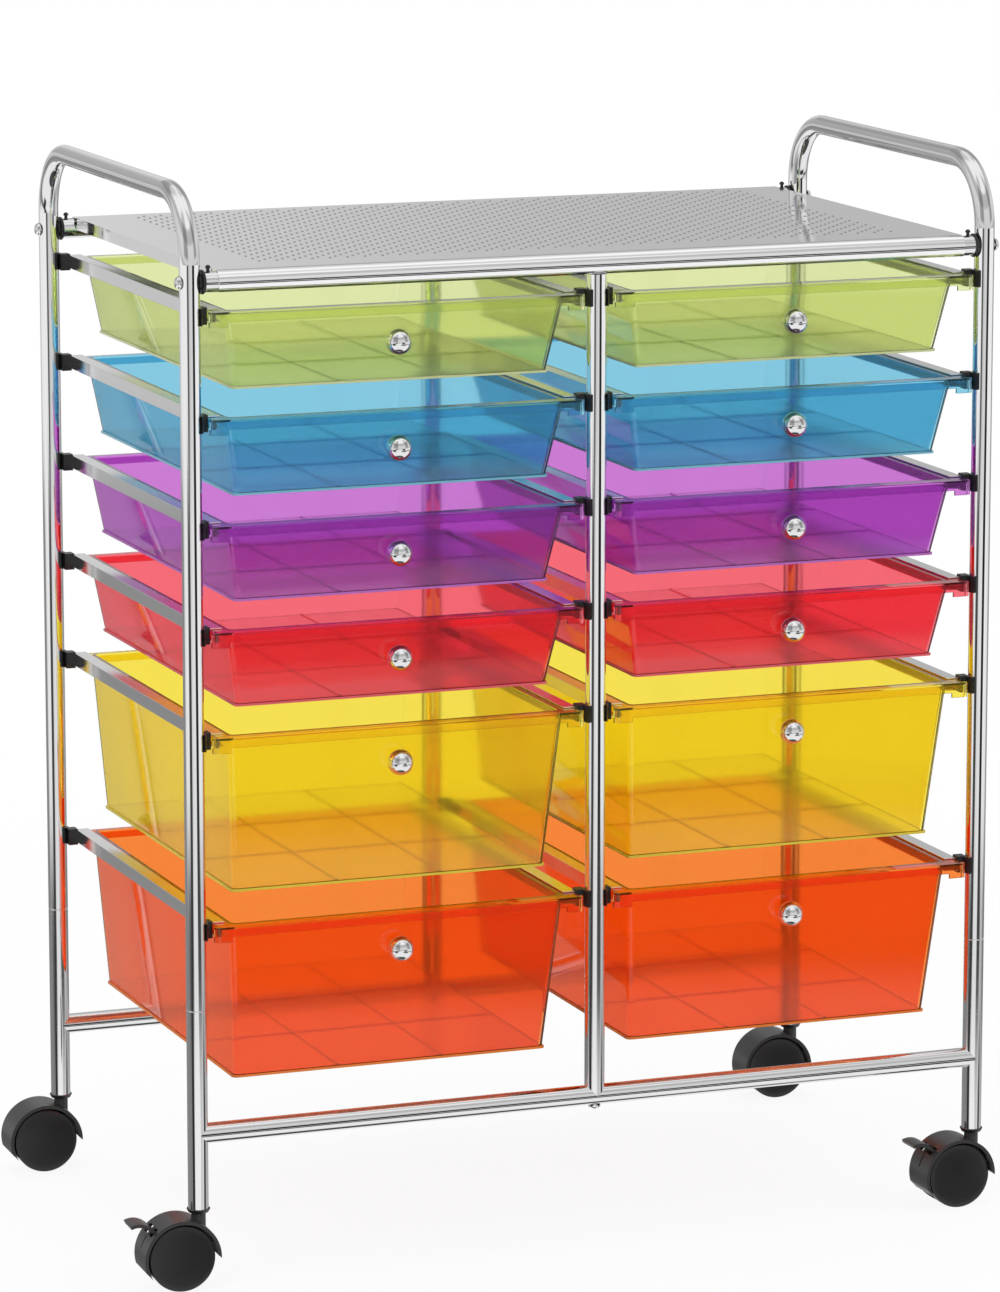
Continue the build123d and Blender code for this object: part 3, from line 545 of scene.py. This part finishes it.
pegs_low, pegs_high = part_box("tray_pegs")
head_foot = pegs_high.z - pegs_low.z - peg_head_height
mushrooms = bmesh.new()
for x in (pegs_low.x + peg_radius, pegs_high.x - peg_radius):
    for y in (pegs_low.y + peg_radius, pegs_high.y - peg_radius):
        outline = [(0.0, 0.0), (peg_stem_radius, 0.0), (peg_stem_radius, head_foot)]
        outline += [(peg_head_radius - peg_head_edge, head_foot)]
        for step in range(peg_dome_steps + 1):
            turn = math.pi / 2 * step / peg_dome_steps
            rise = (peg_head_height - peg_head_edge) * math.sin(turn)
            outline.append((peg_head_radius * math.cos(turn), head_foot + peg_head_edge + rise))
        turned(mushrooms, outline, Vector((x, y, pegs_low.z)), Vector((0, 0, 1)), peg_turn_steps)
bmesh.ops.recalc_face_normals(mushrooms, faces=mushrooms.faces)
place_piece(mushrooms, "domed_pegs", clip_black, "black_plastic", "frame", "tray_pegs")


# Rails: strip steel rolled to a C and zinc plated, open towards the drawer. The outer rails hang
# between the side posts' clips, and the inner ones between the centre posts'.
rail_shade = 0.86
rail_roughness = (0.09, 0.17)
rolling_lines = (220.0, 6.0, 220.0)
rolling_depth = 0.006 * mm
rail_edge = 0.22 * mm
rail_zinc = plated_steel("rail_zinc", rail_shade, rail_roughness, rolling_lines, rolling_depth)
for node, name in (
    ("side_rails_left", "left_rails"),
    ("side_rails_right", "right_rails"),
    ("centre_rails", "inner_rails"),
):
    softened(node, name, rail_zinc, "zinc_rail", "frame", rail_edge)


# Drawers: tapered trays, injection moulded in clear tinted plastic with 2 mm walls. A rim plate
# turns down into a runner all round, which slides in the rails, and ends in two front ears. The
# bead round the foot has a less clear copy of the plastic: painted shade, a darker line in the
# drawer's own colour along the foot.
drawer_wall = 2.0 * mm
rim_plate = 1.8 * mm
runner_height = 7.4 * mm
runner_half_width = 140.0 * mm
mouth_half_width = 128.8 * mm
rim_front_overhang = 9.5 * mm
rim_rear_overhang = 4.0 * mm
rear_lean_share = 0.5
deep_drawer = 100 * mm
shallow_lean, deep_lean = 9.5 * mm, 17.5 * mm
shallow_foot_half_width, deep_foot_half_width = 119.8 * mm, 121.0 * mm
drawer_corner = 4.0 * mm
drawer_corner_steps = 5
foot_bead = 1.1 * mm
foot_bead_height = 1.6 * mm
ear_depth = 4.2 * mm
ear_step = 0.4 * mm
ear_overhang = 3.1 * mm
ear_drop = 3.7 * mm
ear_width = 13.8 * mm
rib_width = 1.6 * mm
rib_height = 1.0 * mm
rib_end_gap = 0.8 * mm
floor_panels = 3
moulded_edge = 0.32 * mm
tolerance = 0.01 * mm
clear_ior = 1.49
clear_specular = 0.3
clear_roughness = (0.03, 0.07)
clear_grain = (22.0, 22.0, 22.0)
clear_grain_depth = 0.05 * mm
clear_share = 0.95
# Painted shade: the foot bead's copy of the plastic lets less light through than the walls.
foot_painted_shade_share = 0.35
tints = {
    1: ("lime", (0.82, 0.88, 0.46)),
    2: ("blue", (0.27, 0.65, 0.83)),
    3: ("purple", (0.66, 0.23, 0.72)),
    4: ("red", (0.99, 0.17, 0.21)),
    5: ("yellow", (0.99, 0.82, 0.10)),
    6: ("orange", (0.99, 0.27, 0.05)),
}


def clear_plastic(name, colour, share):
    material, tree, shader = new_material(name)
    shader.inputs["Base Color"].default_value = (*colour, 1.0)
    shader.inputs["IOR"].default_value = clear_ior
    shader.inputs["Specular IOR Level"].default_value = clear_specular
    shader.inputs["Transmission Weight"].default_value = share
    mottle(tree, shader, clear_grain, clear_roughness, clear_grain_depth)
    return material


def next_ring(bm, ring, middle, sideways, ahead, behind, up):
    made = bmesh.ops.extrude_edge_only(bm, edges=ring)["geom"]
    for vert in (part for part in made if isinstance(part, bmesh.types.BMVert)):
        vert.co.x += sideways if vert.co.x > middle.x else -sideways
        vert.co.y += behind if vert.co.y > middle.y else -ahead
        vert.co.z += up
    return [part for part in made if isinstance(part, bmesh.types.BMEdge)]


def cut_across(bm, faces, point, normal):
    geom = set(faces)
    for face in faces:
        geom.update(face.edges)
        geom.update(face.verts)
    cut = bmesh.ops.bisect_plane(
        bm, geom=list(geom), dist=weld_distance, plane_co=point, plane_no=normal
    )["geom"]
    return [part for part in cut if isinstance(part, bmesh.types.BMFace)]


def raise_faces(bm, faces, up):
    raised = bmesh.ops.extrude_face_region(bm, geom=faces)["geom"]
    verts = [part for part in raised if isinstance(part, bmesh.types.BMVert)]
    bmesh.ops.translate(bm, verts=verts, vec=(0, 0, up))
    bmesh.ops.delete(bm, geom=faces, context="FACES")


def drawer_mesh(low, high):
    depth = high.z - low.z
    deep = depth > deep_drawer
    foot_half_width = deep_foot_half_width if deep else shallow_foot_half_width
    lean = deep_lean if deep else shallow_lean
    rear_lean = lean * rear_lean_share
    flare = mouth_half_width - foot_half_width
    foot_front = low.y + rim_front_overhang + lean
    foot_rear = high.y - rim_rear_overhang - rear_lean
    middle = Vector(((low.x + high.x) / 2, (foot_front + foot_rear) / 2, low.z))
    wall_height = depth - runner_height
    taper = 1 - drawer_wall / wall_height

    bm = bmesh.new()
    bmesh.ops.create_grid(bm, x_segments=1, y_segments=1, size=0.5)
    foot_size = (2 * (foot_half_width + foot_bead), foot_rear - foot_front + 2 * foot_bead, 1)
    bmesh.ops.scale(bm, vec=foot_size, verts=bm.verts)
    bmesh.ops.translate(bm, vec=middle, verts=bm.verts)
    bmesh.ops.bevel(
        bm, geom=bm.verts[:], offset=drawer_corner, offset_type="OFFSET", affect="VERTICES",
        segments=drawer_corner_steps, profile=0.5, material=-1,
    )
    steps = [
        (0, 0, 0, foot_bead_height),
        (-foot_bead, -foot_bead, -foot_bead, 0),
        (flare, lean, rear_lean, wall_height - foot_bead_height),
        (0, 0, 0, runner_height - rim_plate),
        (
            runner_half_width - rim_plate - mouth_half_width,
            rim_front_overhang - rim_plate,
            rim_rear_overhang - rim_plate,
            0,
        ),
        (0, 0, 0, rim_plate - runner_height),
        (rim_plate, rim_plate, rim_plate, 0),
        (0, 0, 0, runner_height),
        (
            mouth_half_width - drawer_wall - runner_half_width,
            -rim_front_overhang - drawer_wall,
            -rim_rear_overhang - drawer_wall,
            0,
        ),
        (0, 0, 0, -runner_height),
        (-flare * taper, -lean * taper, -rear_lean * taper, drawer_wall - wall_height),
    ]
    ring = bm.edges[:]
    for sideways, ahead, behind, up in steps:
        ring = next_ring(bm, ring, middle, sideways, ahead, behind, up)
    floor_face = bmesh.ops.contextual_create(bm, geom=ring)["faces"][0]
    bmesh.ops.recalc_face_normals(bm, faces=bm.faces)
    # The foot bead's faces take the second material, the painted shade copy of the plastic.
    for face in bm.faces:
        on_foot = max(vert.co.z for vert in face.verts) < low.z + foot_bead_height + tolerance
        if on_foot and len(face.verts) == 4 and face != floor_face:
            face.material_index = 1

    runner_low = high.z - runner_height
    ear_inner = runner_half_width + ear_overhang - ear_width
    runner = [
        face for face in bm.faces
        if min(vert.co.z for vert in face.verts) > runner_low - tolerance
        and max(abs(vert.co.x - middle.x) for vert in face.verts) > mouth_half_width + mm
    ]
    for y in (low.y + ear_depth, low.y + ear_depth + ear_step):
        runner = cut_across(bm, runner, (middle.x, y, high.z), (0, 1, 0))
    for hand in (-1, 1):
        runner = cut_across(bm, runner, (middle.x + hand * ear_inner, low.y, high.z), (1, 0, 0))
    ear_reach = runner_half_width - rim_plate - drawer_corner - tolerance
    for vert in bm.verts:
        at_end = vert.co.y < low.y + ear_depth + tolerance
        if at_end and abs(vert.co.x - middle.x) > ear_reach:
            vert.co.x += math.copysign(ear_overhang, vert.co.x - middle.x)
    ear_foot = []
    for face in runner:
        centre = face.calc_center_median()
        at_foot = max(vert.co.z for vert in face.verts) < runner_low + tolerance
        if at_foot and centre.y < low.y + ear_depth and abs(centre.x - middle.x) > ear_inner:
            ear_foot.append(face)
    raise_faces(bm, ear_foot, -ear_drop)

    bmesh.ops.inset_region(bm, faces=[floor_face], thickness=rib_end_gap, use_even_offset=True)
    panels = [floor_face]
    panel_width = 2 * foot_half_width / floor_panels
    panel_length = (foot_rear - foot_front) / floor_panels
    for hand in (-1, 1):
        for edge in (-1, 1):
            x = middle.x + hand * panel_width / 2 + edge * rib_width / 2
            y = middle.y + hand * panel_length / 2 + edge * rib_width / 2
            panels = cut_across(bm, panels, (x, middle.y, low.z), (1, 0, 0))
            panels = cut_across(bm, panels, (middle.x, y, low.z), (0, 1, 0))
    ribs = []
    for face in panels:
        centre = face.calc_center_median()
        off_x = abs(abs(centre.x - middle.x) - panel_width / 2)
        off_y = abs(abs(centre.y - middle.y) - panel_length / 2)
        if min(off_x, off_y) < rib_width / 2:
            ribs.append(face)
    raise_faces(bm, ribs, rib_height)

    bmesh.ops.recalc_face_normals(bm, faces=bm.faces)
    return bm


for row, (tint, colour) in tints.items():
    tinted = clear_plastic(f"{tint}_plastic", colour, clear_share)
    # A less clear copy of the plastic for the foot bead, as a painted shade line.
    foot_painted_shade = clear_plastic(f"{tint}_edge", colour, foot_painted_shade_share)
    for side in ("left", "right"):
        body = f"drawer_{side}_{row}"
        low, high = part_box(body)
        moulding = place_piece(
            drawer_mesh(low, high), f"{tint}_drawer_{side}", tinted, f"{tint}_clear", body, body
        )
        moulding.data.materials.append(foot_painted_shade)
        round_edges(moulding, moulded_edge)


# Knobs: turned steel balls with bright chrome plating. Each stands on a short neck and a thin
# base on its drawer's front, and a screw from inside the drawer holds it.
knob_radius = 9.5 * mm
knob_tip = 18.8 * mm
knob_standoff = 10.0 * mm
knob_drop = 28.0 * mm
knob_neck_radius = 3.2 * mm
knob_base_radius = 4.5 * mm
knob_base_height = 1.4 * mm
knob_fillet = 0.4 * mm
screw_head_radius = 3.8 * mm
screw_head_height = 2.2 * mm
screw_head_round = 0.8 * mm
screw_head_gap = 0.05 * mm
screw_radius = 2.0 * mm
knob_ball_steps = 18
knob_turn_steps = 40
knob_shade = 0.83
knob_roughness = (0.03, 0.06)
knob_grain = (120.0, 120.0, 120.0)
knob_grain_depth = 0.001 * mm

knob_chrome = plated_steel("knob_chrome", knob_shade, knob_roughness, knob_grain, knob_grain_depth)


def knob_outline():
    inside = -drawer_wall - screw_head_gap
    outline = [
        (0.0, inside - screw_head_height),
        (screw_head_radius - screw_head_round, inside - screw_head_height),
        (screw_head_radius, inside - screw_head_height + screw_head_round),
        (screw_head_radius, inside),
        (screw_radius, inside),
        (screw_radius, 0.0),
        (knob_base_radius - knob_fillet, 0.0),
        (knob_base_radius, knob_fillet),
        (knob_base_radius - knob_fillet, knob_base_height - knob_fillet),
        (knob_neck_radius + knob_fillet, knob_base_height),
        (knob_neck_radius, knob_base_height + knob_fillet),
    ]
    first = math.asin(knob_neck_radius / knob_radius)
    for step in range(knob_ball_steps + 1):
        turn = first + (math.pi - first) * step / knob_ball_steps
        along = knob_tip - knob_radius * (1 + math.cos(turn))
        outline.append((knob_radius * math.sin(turn), along))
    return outline


for row in tints:
    for side in ("left", "right"):
        drawer = f"drawer_{side}_{row}"
        low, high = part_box(drawer)
        depth = high.z - low.z
        lean = deep_lean if depth > deep_drawer else shallow_lean
        tilt = math.atan2(lean, depth - runner_height)
        wall_drop = knob_drop - knob_standoff * math.sin(tilt)
        wall_y = low.y + rim_front_overhang + (wall_drop - runner_height) * math.tan(tilt)
        seat = Vector(((low.x + high.x) / 2, wall_y, high.z - wall_drop))
        out = Vector((0, -math.cos(tilt), -math.sin(tilt)))
        ball = bmesh.new()
        turned(ball, knob_outline(), seat, out, knob_turn_steps)
        bmesh.ops.recalc_face_normals(ball, faces=ball.faces)
        knob = f"knob_{side}_{row}"
        place_piece(ball, f"ball_{knob}", knob_chrome, "bright_chrome", drawer, knob)


# Casters: each has a hood moulded in black nylon with a core between two wheels, a steel swivel
# stem that pushes into a socket in the leg, and a steel axle. The wheels are hard black nylon.
hood_edge = 0.35 * mm
wheel_half_gap = 5.7 * mm
wheel_width = 7.6 * mm
wheel_radius = 24.6 * mm
wheel_rim = 3.0 * mm
wheel_disc = 2.2 * mm
wheel_dome = 1.6 * mm
wheel_hub_radius = 6.0 * mm
wheel_bore_radius = 2.55 * mm
wheel_boss = 0.4 * mm
tread_round = 0.9 * mm
tread_round_share = 0.3
dome_steps = 9
wheel_turn_steps = 72
hood_shade = (0.028, 0.028, 0.028)
hood_roughness = (0.25, 0.38)
hood_grain = 1400.0
hood_grain_depth = 0.02 * mm
wheel_shade = (0.008, 0.007, 0.007)
wheel_roughness = (0.24, 0.36)
wheel_grain = 500.0
pin_shade = 0.30
pin_roughness = (0.22, 0.34)
pin_lines = (300.0, 300.0, 40.0)
pin_line_depth = 0.004 * mm

hood_nylon = moulded_plastic("hood_nylon", hood_shade, hood_roughness, hood_grain, hood_grain_depth)
wheel_nylon = moulded_plastic(
    "wheel_nylon", wheel_shade, wheel_roughness, wheel_grain, fine_grain_depth
)
pin_steel = plated_steel("pin_steel", pin_shade, pin_roughness, pin_lines, pin_line_depth)
softened("caster_sockets", "leg_sockets", clip_black, "black_plastic", "frame", small_moulding_edge)


def wheel_outline():
    rim_x = wheel_half_gap + wheel_width
    disc_x = rim_x - wheel_disc
    outline = [
        (0.0, disc_x + wheel_boss),
        (wheel_bore_radius, disc_x + wheel_boss),
        (wheel_bore_radius, wheel_half_gap),
        (wheel_hub_radius, wheel_half_gap),
        (wheel_hub_radius, disc_x),
        (wheel_radius - wheel_rim, disc_x),
        (wheel_radius - wheel_rim, wheel_half_gap),
        (wheel_radius - tread_round / 2, wheel_half_gap),
        (wheel_radius, wheel_half_gap + tread_round / 2),
        (wheel_radius, rim_x - tread_round),
        (wheel_radius - tread_round * tread_round_share, rim_x - tread_round * tread_round_share),
        (wheel_radius - tread_round, rim_x),
    ]
    for step in range(1, dome_steps + 1):
        radius = (wheel_radius - tread_round) * (1 - step / dome_steps)
        rise = wheel_dome * (1 - (radius / wheel_radius) ** 2)
        outline.append((radius, rim_x + rise))
    return outline


def spin_place(body):
    for joint in frame["joints"]:
        if joint["child"] == body:
            return Vector(joint["pos_m"]), Vector(joint["axis"])


for end in ("front", "rear"):
    for side in ("left", "right"):
        body = f"caster_{end}_{side}"
        dress(f"caster_pins_{end}_{side}", pin_steel)
        hood = f"hood_{end}_{side}"
        softened(f"caster_{hood}", hood, hood_nylon, "hood_plastic", body, hood_edge)
        for place in ("outer", "inner"):
            wheel_body = f"wheel_{end}_{side}_{place}"
            hub, axle = spin_place(wheel_body)
            low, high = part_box(wheel_body)
            outward = axle if ((low + high) / 2 - hub).dot(axle) > 0 else -axle
            disc = bmesh.new()
            turned(disc, wheel_outline(), hub, outward, wheel_turn_steps)
            bmesh.ops.recalc_face_normals(disc, faces=disc.faces)
            disc_name = f"disc_{end}_{side}_{place}"
            place_piece(disc, disc_name, wheel_nylon, "wheel_plastic", wheel_body, wheel_body)


# Brake levers: a bent foot plate in the hood's black nylon on each front caster, on a pin across
# the core. Pressed down, it bears on the wheels.
lever_edge = 0.5 * mm
for side in ("left", "right"):
    body = f"brake_lever_{side}"
    softened(body, f"foot_plate_{side}", hood_nylon, "hood_plastic", body, lever_edge)
